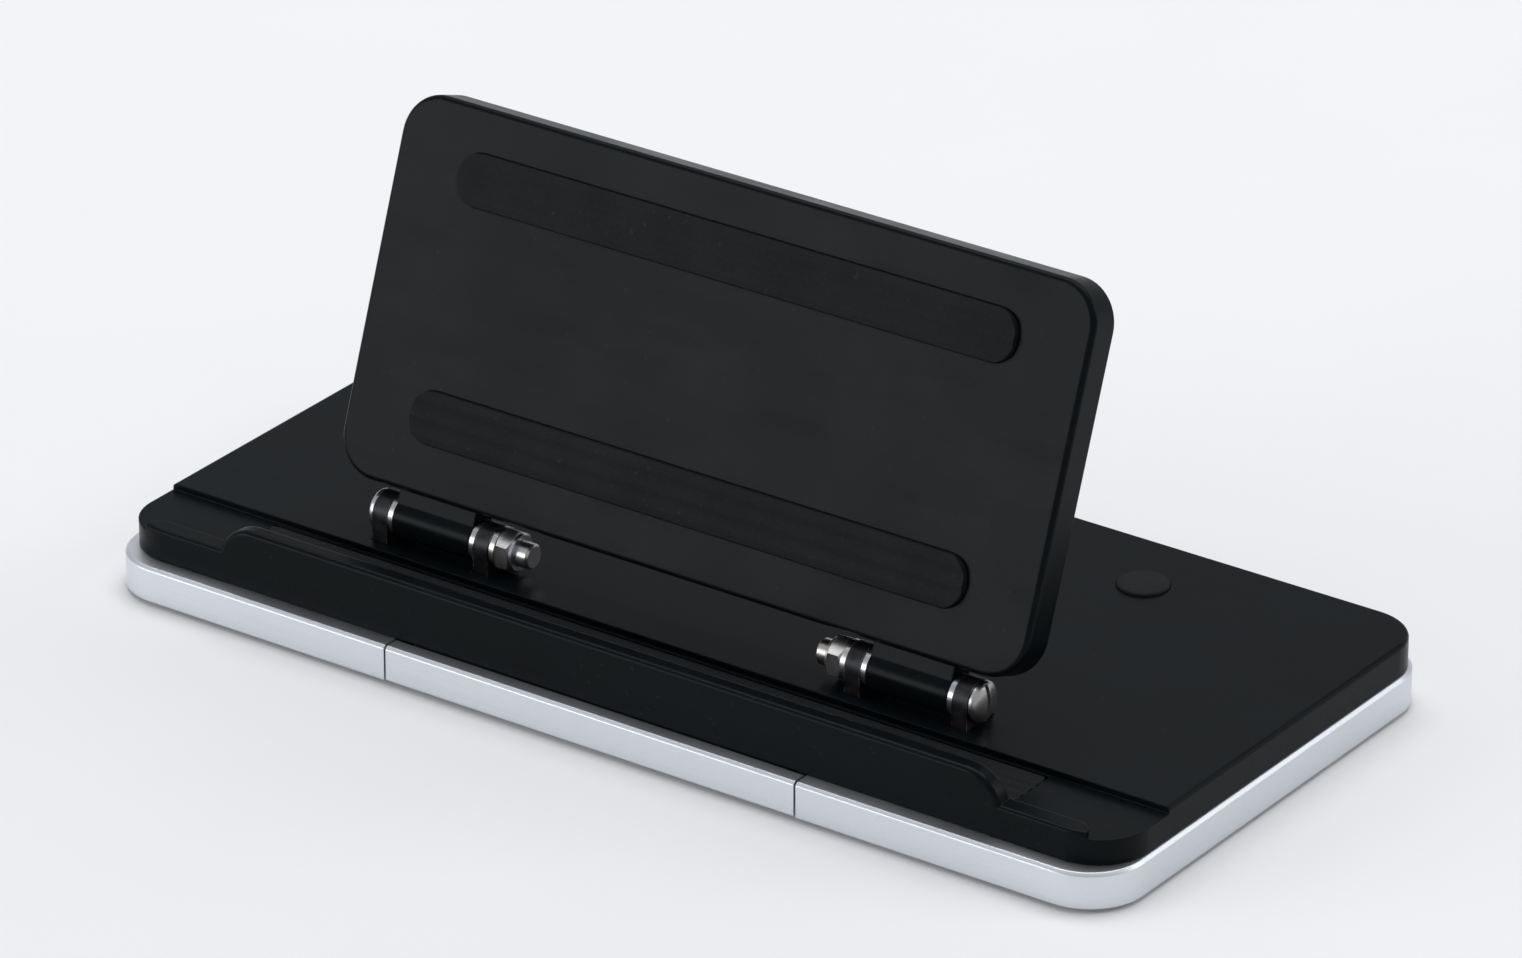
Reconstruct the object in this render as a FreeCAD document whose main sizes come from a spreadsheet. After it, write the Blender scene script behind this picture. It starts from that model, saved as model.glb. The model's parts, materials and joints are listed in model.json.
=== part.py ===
"""Folding tablet stand: a low base with a device channel, a pull-out tray and a tilting backrest.

Frame: millimetres, X along the base, Y from front to back, Z up.
The origin is the centre of the base's footprint on the table.
"""
import FreeCAD, Part
import os
import Sketcher

DIMENSIONS = (
    # base outline and levels above the table
    ("base_width", 135.0),
    ("base_depth", 65.0),
    ("corner_radius", 6.8),
    ("foot_proud", 0.5),
    ("cover_thickness", 1.2),
    ("band_height", 4.2),
    ("band_wall", 2.2),
    ("band_chamfer", 0.35),
    ("shell_gap", 0.05),
    ("shell_side_inset", 0.5),
    ("shell_top", 8.5),
    ("shell_wall", 1.8),
    ("shell_edge_radius", 0.5),
    ("roof_thickness", 1.6),
    ("roof_skin", 0.3),
    ("overcut", 1.0),
    # front lip and the channel that the device stands in
    ("lip_length", 105.0),
    ("lip_top", 11.8),
    ("lip_wall", 2.3),
    ("lip_end_radius", 4.7),
    ("lip_edge_radius", 0.6),
    ("channel_depth", 8.0),
    ("channel_floor", 7.7),
    ("channel_block", 1.0),
    ("channel_skin", 1.4),
    ("brow_end", 63.0),
    ("brow_end_radius", 1.8),
    ("channel_margin", 0.3),
    ("pad_length", 104.0),
    ("pad_proud", 0.1),
    ("pad_thickness", 1.0),
    ("pad_gap", 0.05),
    # pull-out tray
    ("tray_front_width", 54.8),
    ("tray_front_gap", 0.25),
    ("tray_front_lift", 0.1),
    ("tray_front_edge", 0.2),
    ("tray_width", 50.0),
    ("tray_depth", 40.0),
    ("tray_height", 2.7),
    ("tray_wall", 1.2),
    ("tray_floor", 0.8),
    ("tray_clearance", 0.2),
    ("window_gap", 0.4),
    ("tray_screw_spread", 20.0),
    ("tray_screw_height", 1.85),
    ("tray_screw_radius", 0.6),
    ("tray_screw_head_radius", 0.7),
    ("tray_screw_head_height", 0.5),
    ("tray_screw_bite", 1.1),
    ("liner_thickness", 0.3),
    ("liner_gap", 0.1),
    ("rib_reach", 1.2),
    ("rib_height", 0.8),
    ("rib_clearance", 0.1),
    ("rib_root", 0.1),
    ("rib_setback", 2.0),
    ("guide_width", 3.2),
    ("guide_setback", 0.2),
    ("guide_overrun", 1.0),
    # backrest, in its own frame: origin on the hinge axis, Z up the panel, Y through it
    ("lean_angle", 20.0),
    ("hinge_behind", 15.8),
    ("hinge_height", 11.2),
    ("panel_width", 92.0),
    ("panel_start", 3.2),
    ("panel_end", 47.0),
    ("panel_front", 2.8),
    ("panel_back", 1.2),
    ("panel_skin", 1.4),
    ("panel_rim", 6.0),
    ("panel_corner", 5.0),
    ("panel_edge_radius", 0.6),
    ("back_cover_thickness", 1.0),
    ("back_cover_inset", 1.0),
    ("cover_screw_side", 5.0),
    ("cover_screw_rise", 4.0),
    ("cover_screw_bite", 2.4),
    ("cover_pilot_depth", 2.6),
    ("rest_pad_length", 74.0),
    ("rest_pad_width", 6.0),
    ("rest_pad_corner", 2.7),
    ("rest_pad_proud", 0.8),
    ("rest_pad_sunk", 0.4),
    ("lower_pad_start", 9.0),
    ("upper_pad_start", 36.0),
    # friction hinges, measured along X from the middle of the stand
    ("ear_inner", 24.0),
    ("ear_outer", 40.0),
    ("ear_thickness", 2.0),
    ("ear_radius", 2.5),
    ("ear_root", 0.2),
    ("ear_slot_gap", 0.2),
    ("arm_front", 2.0),
    ("arm_start", 0.1),
    ("arm_overlap", 0.5),
    ("flange_thickness", 1.2),
    ("flange_depth", 10.3),
    ("washer_thickness", 0.7),
    ("washer_radius", 2.4),
    ("washer_gap", 0.03),
    ("running_gap", 0.05),
    ("pin_radius", 1.5),
    ("pin_fit", 0.02),
    ("pin_head_radius", 2.4),
    ("pin_head_length", 1.2),
    ("pin_tail", 4.6),
    ("nut_radius", 2.6),
    ("nut_length", 2.2),
    ("hinge_screw_behind", 2.2),
    ("hinge_screw_length", 2.4),
    # ballast, feet and fasteners
    ("ballast_width", 104.0),
    ("ballast_start", -5.0),
    ("ballast_end", 28.0),
    ("ballast_thickness", 2.0),
    ("ballast_screw_inset", 5.0),
    ("ballast_screw_length", 3.2),
    ("foot_radius", 4.5),
    ("foot_seat", 0.6),
    ("foot_spread", 46.0),
    ("foot_reach", 23.5),
    ("case_screw_spread", 57.5),
    ("case_screw_reach", 23.0),
    ("case_screw_length", 5.0),
    ("boss_radius", 2.6),
    ("boss_root", 0.8),
    ("boss_pilot_depth", 4.5),
    ("screw_radius", 1.0),
    ("screw_head_radius", 1.9),
    ("screw_head_height", 0.9),
    ("screw_head_proud", 0.3),
    ("drive_radius", 0.8),
    ("pilot_gap", 0.05),
    ("hole_gap", 0.2),
    ("sink_gap", 0.1),
    ("bumper_radius", 3.0),
    ("bumper_sunk", 0.6),
    ("bumper_proud", 0.4),
    ("bumper_spread", 36.0),
    ("bumper_reach", 22.0),
)

LEFT = -1
RIGHT = 1
SIDES = ((LEFT, "left"), (RIGHT, "right"))
ALONG_X = FreeCAD.Rotation(FreeCAD.Vector(0, 1, 0), 90)
LEAN_AXIS = FreeCAD.Vector(-1, 0, 0)
NEAR = 1e-4

# levels and edges that several sub-parts share, as expressions of the driving dimensions
COVER_TOP = "(dims.foot_proud + dims.cover_thickness)"
BAND_TOP = "(dims.foot_proud + dims.band_height)"
CEILING = "(dims.shell_top - dims.roof_thickness)"
LOW_CEILING = "(dims.channel_floor - dims.pad_thickness - dims.channel_skin)"
SHELL_HALF_WIDTH = "(dims.base_width / 2 - dims.band_wall - dims.shell_gap)"
SHELL_HALF_DEPTH = "(dims.base_depth / 2 - dims.band_wall - dims.shell_gap)"
CAVITY_HALF_WIDTH = f"({SHELL_HALF_WIDTH} - dims.shell_wall)"
CAVITY_HALF_DEPTH = f"({SHELL_HALF_DEPTH} - dims.shell_wall)"
BROW_LOW = f"({BAND_TOP} + dims.shell_gap)"
BROW_FRONT = "(-dims.base_depth / 2 + dims.band_wall)"
LIP_INNER = f"({BROW_FRONT} + dims.lip_wall)"
CHANNEL_END = f"({LIP_INNER} + dims.channel_depth)"
TRAY_LOW = f"({COVER_TOP} + dims.tray_clearance)"
TRAY_START = BROW_FRONT
RIB_LOW = f"({TRAY_LOW} + dims.tray_height / 2 - dims.rib_height / 2)"
FLANGE_LOW = f"({CEILING} - dims.flange_thickness)"
EAR_FRONT = "(-dims.hinge_behind - dims.ear_radius)"
EAR_BACK = "(-dims.hinge_behind + dims.ear_radius)"
HINGE_SCREW_Y = "(-dims.hinge_behind + dims.ear_radius + dims.hinge_screw_behind)"
HINGE_SCREW_X = "((dims.ear_inner + dims.ear_outer) / 2)"
KNUCKLE_INNER = "(dims.ear_inner + dims.ear_thickness + dims.washer_thickness + dims.running_gap)"
KNUCKLE_OUTER = "(dims.ear_outer - dims.ear_thickness - dims.washer_thickness - dims.running_gap)"

doc = FreeCAD.newDocument("tablet_stand")


def fill_sheet():
    """Write every driving dimension to the sheet under its alias."""
    sheet = doc.addObject("Spreadsheet::Sheet", "dims")
    for row, (alias, value) in enumerate(DIMENSIONS, start=1):
        sheet.set(f"A{row}", alias)
        sheet.set(f"B{row}", str(value))
        sheet.setAlias(f"B{row}", alias)
    doc.recompute()


def new_body(name):
    """Start a sub-part; it may hold several separate solids, as a set of screws does."""
    body = doc.addObject("PartDesign::Body", name)
    body.Label = name
    body.AllowCompound = True
    return body


def new_sketch(body, name, role, level):
    """Attach a sketch to one of the body's own origin planes, lifted by an expression."""
    plane = [item for item in body.Origin.OriginFeatures if item.Role == role][0]
    sketch = body.newObject("Sketcher::SketchObject", f"{body.Name}_{name}")
    sketch.AttachmentSupport = [(plane, "")]
    sketch.MapMode = "FlatFace"
    sketch.setExpression("AttachmentOffset.Base.z", level)
    return sketch


def drive(sketch, kind, target, name, expression):
    """Add one dimension from the sketch's origin, or of a radius, bound to an expression."""
    value = sketch.evalExpression(expression)
    if kind == "Radius":
        index = sketch.addConstraint(Sketcher.Constraint(kind, target, value))
    else:
        curve, point = target
        index = sketch.addConstraint(Sketcher.Constraint(kind, -1, 1, curve, point, value))
    sketch.renameConstraint(index, name)
    sketch.setExpression(f"Constraints.{name}", expression)


def add_rectangle(sketch, left, right, low, high):
    """Draw one rectangle whose four sides are placed by expressions."""
    x_low, x_high, y_low, y_high = (sketch.evalExpression(edge) for edge in (left, right, low, high))
    corners = ((x_low, y_low), (x_high, y_low), (x_high, y_high), (x_low, y_high))
    points = [FreeCAD.Vector(x, y, 0) for x, y in corners]
    first = sketch.GeometryCount
    for index in range(4):
        sketch.addGeometry(Part.LineSegment(points[index], points[(index + 1) % 4]))
    for index in range(4):
        following = first + (index + 1) % 4
        sketch.addConstraint(Sketcher.Constraint("Coincident", first + index, 2, following, 1))
        kind = "Horizontal" if index % 2 == 0 else "Vertical"
        sketch.addConstraint(Sketcher.Constraint(kind, first + index))
    drive(sketch, "DistanceX", (first, 1), f"left_{first}", left)
    drive(sketch, "DistanceX", (first + 1, 1), f"right_{first}", right)
    drive(sketch, "DistanceY", (first, 1), f"low_{first}", low)
    drive(sketch, "DistanceY", (first + 2, 1), f"high_{first}", high)


def rectangle(body, name, role, level, left, right, low, high):
    """Sketch one rectangle on an origin plane."""
    sketch = new_sketch(body, name, role, level)
    add_rectangle(sketch, left, right, low, high)
    return sketch


def circles(body, name, role, level, centres, radius):
    """Sketch one circle of the same radius at each centre."""
    sketch = new_sketch(body, name, role, level)
    for x_place, y_place in centres:
        place = FreeCAD.Vector(sketch.evalExpression(x_place), sketch.evalExpression(y_place), 0)
        size = sketch.evalExpression(radius)
        index = sketch.addGeometry(Part.Circle(place, FreeCAD.Vector(0, 0, 1), size))
        drive(sketch, "Radius", index, f"radius_{index}", radius)
        drive(sketch, "DistanceX", (index, 3), f"across_{index}", x_place)
        drive(sketch, "DistanceY", (index, 3), f"along_{index}", y_place)
    return sketch


def circle_at_origin(body, name, role, level, radius):
    """Sketch one circle about the sketch's own origin."""
    sketch = new_sketch(body, name, role, level)
    size = sketch.evalExpression(radius)
    index = sketch.addGeometry(Part.Circle(FreeCAD.Vector(0, 0, 0), FreeCAD.Vector(0, 0, 1), size))
    sketch.addConstraint(Sketcher.Constraint("Coincident", index, 3, -1, 1))
    drive(sketch, "Radius", index, "radius", radius)
    return sketch


def extrude(kind, body, sketch, length, reverse=False):
    """Pad or pocket a sketch by an expression and check that the solid really changed."""
    doc.recompute()
    before = body.Shape.Volume if body.Tip else 0.0
    feature = body.newObject(kind, f"{sketch.Name}_{kind.split('::')[1].lower()}")
    feature.Profile = sketch
    feature.Reversed = reverse
    feature.setExpression("Length", length)
    doc.recompute()
    grows = body.Shape.Volume > before
    if grows != (kind == "PartDesign::Pad") or body.Shape.Volume == before:
        raise RuntimeError(f"{feature.Name} changed nothing or went the wrong way")
    return feature


def pad(body, sketch, length, reverse=False):
    """Add material from a sketch along the plane's normal."""
    return extrude("PartDesign::Pad", body, sketch, length, reverse)


def pocket(body, sketch, length, reverse=False):
    """Cut material from a sketch against the plane's normal."""
    return extrude("PartDesign::Pocket", body, sketch, length, reverse)


def dress(kind, body, name, size_name, size, chosen):
    """Round or chamfer the edges of the body's last feature that pass a test."""
    doc.recompute()
    base = body.Tip
    names = [f"Edge{i}" for i, edge in enumerate(base.Shape.Edges, start=1) if chosen(edge)]
    feature = body.newObject(kind, f"{body.Name}_{name}")
    feature.Base = (base, names)
    feature.setExpression(size_name, size)
    doc.recompute()
    if not names or "Invalid" in feature.State:
        raise RuntimeError(f"{feature.Name} could not be made on {len(names)} edges")
    return feature


def fillet(body, name, radius, chosen):
    """Round the chosen edges."""
    return dress("PartDesign::Fillet", body, name, "Radius", radius, chosen)


def chamfer(body, name, size, chosen):
    """Chamfer the chosen edges."""
    return dress("PartDesign::Chamfer", body, name, "Size", size, chosen)


def upright(edge):
    """Say whether an edge is a straight line along Z."""
    if not isinstance(edge.Curve, (Part.Line, Part.LineSegment)):
        return False
    return abs(edge.tangentAt(edge.FirstParameter).z) > 0.999


def at_level(height):
    """Make a test for edges that lie wholly in one horizontal plane."""
    def chosen(edge):
        box = edge.BoundBox
        return abs(box.ZMin - height) < NEAR and abs(box.ZMax - height) < NEAR
    return chosen


def through(edge):
    """Say whether an edge is a straight line along Y."""
    box = edge.BoundBox
    return box.XLength < NEAR and box.ZLength < NEAR


def mirrored_span(side, inner, outer):
    """Give the lower and upper X expressions of a span on one side of the middle."""
    if side == RIGHT:
        return inner, outer
    return f"-{outer}", f"-{inner}"


def four_corners(spread, reach):
    """Give the four centres of a rectangle of fasteners or feet."""
    return [(f"{x_sign}{spread}", f"{y_sign}{reach}") for x_sign in ("-", "") for y_sign in ("-", "")]


def lean(body):
    """Put a piece drawn in the backrest's frame on the hinge axis, leaning back."""
    turn = FreeCAD.Rotation(LEAN_AXIS, body.evalExpression("dims.lean_angle"))
    body.Placement = FreeCAD.Placement(FreeCAD.Vector(0, 0, 0), turn)
    body.setExpression("Placement.Base.y", "-dims.hinge_behind")
    body.setExpression("Placement.Base.z", "dims.hinge_height")
    body.setExpression("Placement.Rotation.Angle", "dims.lean_angle")


def make_bottom_cover():
    """Plate that closes the base, with seats for the feet and holes for the case screws."""
    body = new_body("bottom_cover")
    outline = rectangle(
        body, "outline", "XY_Plane", "dims.foot_proud",
        f"-{SHELL_HALF_WIDTH}", SHELL_HALF_WIDTH, f"-{SHELL_HALF_DEPTH}", SHELL_HALF_DEPTH,
    )
    pad(body, outline, "dims.cover_thickness")
    fillet(body, "corners", "dims.corner_radius - dims.band_wall", upright)
    feet = four_corners("dims.foot_spread", "dims.foot_reach")
    seats = circles(body, "seats", "XY_Plane", "dims.foot_proud", feet, "dims.foot_radius + dims.shell_gap")
    pocket(body, seats, "dims.foot_seat", reverse=True)
    screws = four_corners("dims.case_screw_spread", "dims.case_screw_reach")
    holes = circles(body, "holes", "XY_Plane", "dims.foot_proud", screws, "dims.screw_radius + dims.hole_gap")
    pocket(body, holes, "dims.cover_thickness", reverse=True)
    sinks = circles(
        body, "sinks", "XY_Plane", "dims.foot_proud", screws, "dims.screw_head_radius + dims.sink_gap",
    )
    pocket(body, sinks, "dims.screw_head_height - dims.screw_head_proud", reverse=True)
    return body


def make_base_band():
    """C-shaped metal band round the base, open in front where the tray comes out."""
    body = new_body("base_band")
    outline = rectangle(
        body, "outline", "XY_Plane", "dims.foot_proud",
        "-dims.base_width / 2", "dims.base_width / 2", "-dims.base_depth / 2", "dims.base_depth / 2",
    )
    pad(body, outline, "dims.band_height")
    fillet(body, "corners", "dims.corner_radius", upright)
    doc.recompute()
    chamfer(body, "top_edge", "dims.band_chamfer", at_level(body.evalExpression(BAND_TOP)))
    core = new_body("band_core")
    core_outline = rectangle(
        core, "outline", "XY_Plane", "dims.foot_proud - dims.overcut",
        "-dims.base_width / 2 + dims.band_wall", "dims.base_width / 2 - dims.band_wall",
        "-dims.base_depth / 2 + dims.band_wall", "dims.base_depth / 2 - dims.band_wall",
    )
    pad(core, core_outline, "dims.band_height + 2 * dims.overcut")
    fillet(core, "corners", "dims.corner_radius - dims.band_wall", upright)
    gap = rectangle(
        body, "tray_gap", "XY_Plane", BAND_TOP,
        "-dims.tray_front_width / 2 - dims.tray_front_gap", "dims.tray_front_width / 2 + dims.tray_front_gap",
        "-dims.base_depth / 2 - dims.overcut", f"{BROW_FRONT} + dims.overcut",
    )
    pocket(body, gap, "dims.band_height")
    ring = doc.addObject("Part::Cut", "base_band_ring")
    ring.Base = body
    ring.Tool = core
    body.Label = "band_blank"
    ring.Label = "base_band"
    doc.recompute()
    return ring


def join_lip(shell):
    """Fuse the front lip, a bar with round ends and a rounded rim, into the shell's front wall."""
    lip = new_body("lip_blank")
    bar_end = "(dims.lip_length / 2 - dims.lip_end_radius)"
    low_end = "(dims.lip_top - 2 * dims.lip_end_radius)"
    bar = rectangle(lip, "bar", "XZ_Plane", f"-{LIP_INNER}", f"-{bar_end}", bar_end, low_end, "dims.lip_top")
    pad(lip, bar, "dims.lip_wall")
    centres = [(f"{sign}{bar_end}", "(dims.lip_top - dims.lip_end_radius)") for sign in ("-", "")]
    ends = circles(lip, "ends", "XZ_Plane", f"-{LIP_INNER}", centres, "dims.lip_end_radius")
    pad(lip, ends, "dims.lip_wall")

    def rim(edge):
        return edge.BoundBox.YLength < NEAR

    fillet(lip, "rim", "dims.lip_edge_radius", rim)
    union = shell.newObject("PartDesign::Boolean", "top_shell_lip")
    union.Type = "Fuse"
    union.setObjects([lip])
    doc.recompute()


def clear_brow_ends(shell):
    """Stop the low wall in front of the channel short of the corners, with a rounded inner end."""
    ends = new_sketch(shell, "brow_ends", "XY_Plane", "dims.shell_top")
    for side, _ in SIDES:
        left, right = mirrored_span(side, "dims.brow_end", "(dims.base_width / 2)")
        add_rectangle(ends, left, right, f"{BROW_FRONT} - dims.overcut", f"{LIP_INNER} + dims.overcut")
    pocket(shell, ends, "dims.shell_top - dims.channel_floor")
    end = shell.evalExpression("dims.brow_end")
    inner = shell.evalExpression(LIP_INNER)

    def inner_end(edge):
        box = edge.BoundBox
        return upright(edge) and abs(abs(box.Center.x) - end) < NEAR and abs(box.Center.y - inner) < NEAR

    fillet(shell, "brow_end_rounds", "dims.brow_end_radius", inner_end)


def make_top_shell():
    """Moulded upper shell: a skirt inside the band and a wider top over it, with lip, channel and deck."""
    body = new_body("top_shell")
    skirt = rectangle(
        body, "skirt", "XY_Plane", COVER_TOP,
        f"-{SHELL_HALF_WIDTH}", SHELL_HALF_WIDTH, f"-{SHELL_HALF_DEPTH}", SHELL_HALF_DEPTH,
    )
    pad(body, skirt, f"{BROW_LOW} - {COVER_TOP}")
    fillet(body, "skirt_corners", "dims.corner_radius - dims.band_wall", upright)
    brow = rectangle(
        body, "brow", "XY_Plane", BROW_LOW,
        "-dims.base_width / 2 + dims.shell_side_inset", "dims.base_width / 2 - dims.shell_side_inset",
        BROW_FRONT, "dims.base_depth / 2 - dims.shell_side_inset",
    )
    pad(body, brow, f"dims.shell_top - {BROW_LOW}")
    brow_low = body.evalExpression(BROW_LOW)

    def brow_corner(edge):
        return upright(edge) and edge.BoundBox.ZMin > brow_low - NEAR

    fillet(body, "brow_corners", "dims.corner_radius - dims.shell_side_inset", brow_corner)
    fillet(body, "top_edge", "dims.shell_edge_radius", at_level(body.evalExpression("dims.shell_top")))
    join_lip(body)
    channel = rectangle(
        body, "channel", "XY_Plane", "dims.shell_top",
        "-dims.base_width / 2", "dims.base_width / 2", LIP_INNER, CHANNEL_END,
    )
    pocket(body, channel, "dims.shell_top - dims.channel_floor")
    clear_brow_ends(body)
    seat = rectangle(
        body, "pad_seat", "XY_Plane", "dims.channel_floor",
        "-dims.pad_length / 2 - dims.pad_gap", "dims.pad_length / 2 + dims.pad_gap",
        f"{LIP_INNER} + dims.channel_margin", f"{CHANNEL_END} - dims.channel_margin",
    )
    pocket(body, seat, "dims.pad_thickness - dims.pad_proud")
    front_cavity = rectangle(
        body, "front_cavity", "XY_Plane", COVER_TOP,
        f"-{CAVITY_HALF_WIDTH}", CAVITY_HALF_WIDTH,
        f"-{CAVITY_HALF_DEPTH}", f"{CHANNEL_END} + dims.channel_block + dims.overcut",
    )
    pocket(body, front_cavity, f"{LOW_CEILING} - {COVER_TOP}", reverse=True)
    rear_cavity = rectangle(
        body, "rear_cavity", "XY_Plane", COVER_TOP,
        f"-{CAVITY_HALF_WIDTH}", CAVITY_HALF_WIDTH,
        f"{CHANNEL_END} + dims.channel_block", CAVITY_HALF_DEPTH,
    )
    pocket(body, rear_cavity, f"{CEILING} - {COVER_TOP}", reverse=True)
    window_half = "dims.tray_width / 2 + dims.rib_reach + dims.window_gap"
    window = rectangle(
        body, "tray_window", "XY_Plane", COVER_TOP,
        f"-({window_half})", window_half,
        f"-{SHELL_HALF_DEPTH} - dims.overcut", f"-{CAVITY_HALF_DEPTH} + dims.overcut",
    )
    pocket(body, window, f"{BROW_LOW} - {COVER_TOP}", reverse=True)
    screws = four_corners("dims.case_screw_spread", "dims.case_screw_reach")
    bosses = circles(body, "bosses", "XY_Plane", COVER_TOP, screws, "dims.boss_radius")
    pad(body, bosses, f"{CEILING} - {COVER_TOP} + dims.boss_root")
    pilots = circles(body, "pilots", "XY_Plane", COVER_TOP, screws, "dims.screw_radius + dims.pilot_gap")
    pocket(body, pilots, "dims.boss_pilot_depth", reverse=True)
    slots = new_sketch(body, "ear_slots", "XY_Plane", "dims.shell_top")
    for side, _ in SIDES:
        for start in ("dims.ear_inner", "(dims.ear_outer - dims.ear_thickness)"):
            left, right = mirrored_span(
                side, f"({start} - dims.ear_slot_gap)",
                f"({start} + dims.ear_thickness + dims.ear_slot_gap)",
            )
            add_rectangle(
                slots, left, right,
                f"{EAR_FRONT} - dims.ear_slot_gap", f"{EAR_BACK} + dims.ear_slot_gap",
            )
    pocket(body, slots, "dims.roof_thickness + dims.overcut")
    roof_pilots = circles(
        body, "roof_pilots", "XY_Plane", CEILING,
        hinge_screw_places() + ballast_screw_places(), "dims.screw_radius + dims.pilot_gap",
    )
    pocket(body, roof_pilots, "dims.roof_thickness - dims.roof_skin", reverse=True)
    dimples = circles(
        body, "bumper_seats", "XY_Plane", "dims.shell_top",
        bumper_places(), "dims.bumper_radius + dims.shell_gap",
    )
    pocket(body, dimples, "dims.bumper_sunk")
    return body


def hinge_screw_places():
    """One screw in the middle of each hinge flange, behind the ears."""
    return [(f"{sign}{HINGE_SCREW_X}", HINGE_SCREW_Y) for sign in ("-", "")]


def ballast_screw_places():
    """Four screws near the corners of the ballast plate."""
    places = []
    for sign in ("-", ""):
        for reach in (
            "(dims.ballast_start + dims.ballast_screw_inset)",
            "(dims.ballast_end - dims.ballast_screw_inset)",
        ):
            places.append((f"{sign}(dims.ballast_width / 2 - dims.ballast_screw_inset)", reach))
    return places


def bumper_places():
    """Two bumpers on the deck that the folded backrest lies on."""
    return [(f"{sign}dims.bumper_spread", "dims.bumper_reach") for sign in ("-", "")]


def make_channel_pad():
    """Rubber strip in the channel floor that the device stands on."""
    body = new_body("channel_pad")
    strip = rectangle(
        body, "strip", "XY_Plane", "dims.channel_floor + dims.pad_proud - dims.pad_thickness",
        "-dims.pad_length / 2", "dims.pad_length / 2",
        f"{LIP_INNER} + dims.channel_margin + dims.pad_gap",
        f"{CHANNEL_END} - dims.channel_margin - dims.pad_gap",
    )
    pad(body, strip, "dims.pad_thickness")
    return body


def make_ballast_plate():
    """Steel plate under the rear deck that keeps the stand from tipping back."""
    body = new_body("ballast_plate")
    plate = rectangle(
        body, "plate", "XY_Plane", f"{CEILING} - dims.ballast_thickness",
        "-dims.ballast_width / 2", "dims.ballast_width / 2", "dims.ballast_start", "dims.ballast_end",
    )
    pad(body, plate, "dims.ballast_thickness")
    holes = circles(
        body, "holes", "XY_Plane", f"{CEILING} - dims.ballast_thickness",
        ballast_screw_places(), "dims.screw_radius + dims.hole_gap",
    )
    pocket(body, holes, "dims.ballast_thickness", reverse=True)
    return body


def make_screws(name, places, seat, shank_length):
    """A set of pan-head screws driven upwards, with their heads under the level of the seat."""
    body = new_body(name)
    shanks = circles(body, "shanks", "XY_Plane", seat, places, "dims.screw_radius")
    pad(body, shanks, shank_length)
    heads = circles(body, "heads", "XY_Plane", seat, places, "dims.screw_head_radius")
    pad(body, heads, "dims.screw_head_height", reverse=True)
    recess = circles(
        body, "drives", "XY_Plane", f"{seat} - dims.screw_head_height",
        places, "dims.drive_radius",
    )
    pocket(body, recess, "dims.screw_head_height / 2", reverse=True)
    return body


def make_foot(name, place):
    """Rubber disc in its seat in the bottom cover."""
    body = new_body(name)
    disc = circles(body, "disc", "XY_Plane", "0", [place], "dims.foot_radius")
    pad(body, disc, "dims.foot_proud + dims.foot_seat")
    return body


def make_deck_bumpers():
    """Small rubber discs on the deck."""
    body = new_body("deck_bumpers")
    discs = circles(
        body, "discs", "XY_Plane", "dims.shell_top - dims.bumper_sunk",
        bumper_places(), "dims.bumper_radius",
    )
    pad(body, discs, "dims.bumper_sunk + dims.bumper_proud")
    return body


def make_hinge_bracket(side, side_name):
    """Steel bracket under the deck with two ears that rise through it."""
    body = new_body(f"hinge_bracket_{side_name}")
    left, right = mirrored_span(side, "dims.ear_inner", "dims.ear_outer")
    flange = rectangle(
        body, "flange", "XY_Plane", FLANGE_LOW,
        left, right, EAR_FRONT, f"{EAR_FRONT} + dims.flange_depth",
    )
    pad(body, flange, "dims.flange_thickness")
    for index, start in enumerate(("dims.ear_inner", "(dims.ear_outer - dims.ear_thickness)")):
        low = mirrored_span(side, start, f"({start} + dims.ear_thickness)")[0]
        post = rectangle(
            body, f"post_{index}", "YZ_Plane", low,
            EAR_FRONT, EAR_BACK, f"{FLANGE_LOW} + dims.ear_root", "dims.hinge_height",
        )
        pad(body, post, "dims.ear_thickness")
        crown = circles(
            body, f"crown_{index}", "YZ_Plane", low,
            [("-dims.hinge_behind", "dims.hinge_height")], "dims.ear_radius",
        )
        pad(body, crown, "dims.ear_thickness")
    bore = circles(
        body, "bore", "YZ_Plane", right,
        [("-dims.hinge_behind", "dims.hinge_height")], "dims.pin_radius + dims.pin_fit",
    )
    pocket(body, bore, "dims.ear_outer - dims.ear_inner")
    centre = [(f"{'-' if side == LEFT else ''}{HINGE_SCREW_X}", HINGE_SCREW_Y)]
    hole = circles(body, "hole", "XY_Plane", FLANGE_LOW, centre, "dims.screw_radius + dims.hole_gap")
    pocket(body, hole, "dims.flange_thickness", reverse=True)
    return body


def make_hinge_pin(side, side_name):
    """Steel pin with its head outside the outer ear and its tail in the nut."""
    body = new_body(f"hinge_pin_{side_name}")
    axis = [("-dims.hinge_behind", "dims.hinge_height")]
    low, high = mirrored_span(side, "(dims.ear_inner - dims.pin_tail)", "dims.ear_outer")
    shank = circles(body, "shank", "YZ_Plane", low, axis, "dims.pin_radius")
    pad(body, shank, "dims.ear_outer - dims.ear_inner + dims.pin_tail")
    head_start = high if side == RIGHT else f"{low} - dims.pin_head_length"
    head = circles(body, "head", "YZ_Plane", head_start, axis, "dims.pin_head_radius")
    pad(body, head, "dims.pin_head_length")
    return body


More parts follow.
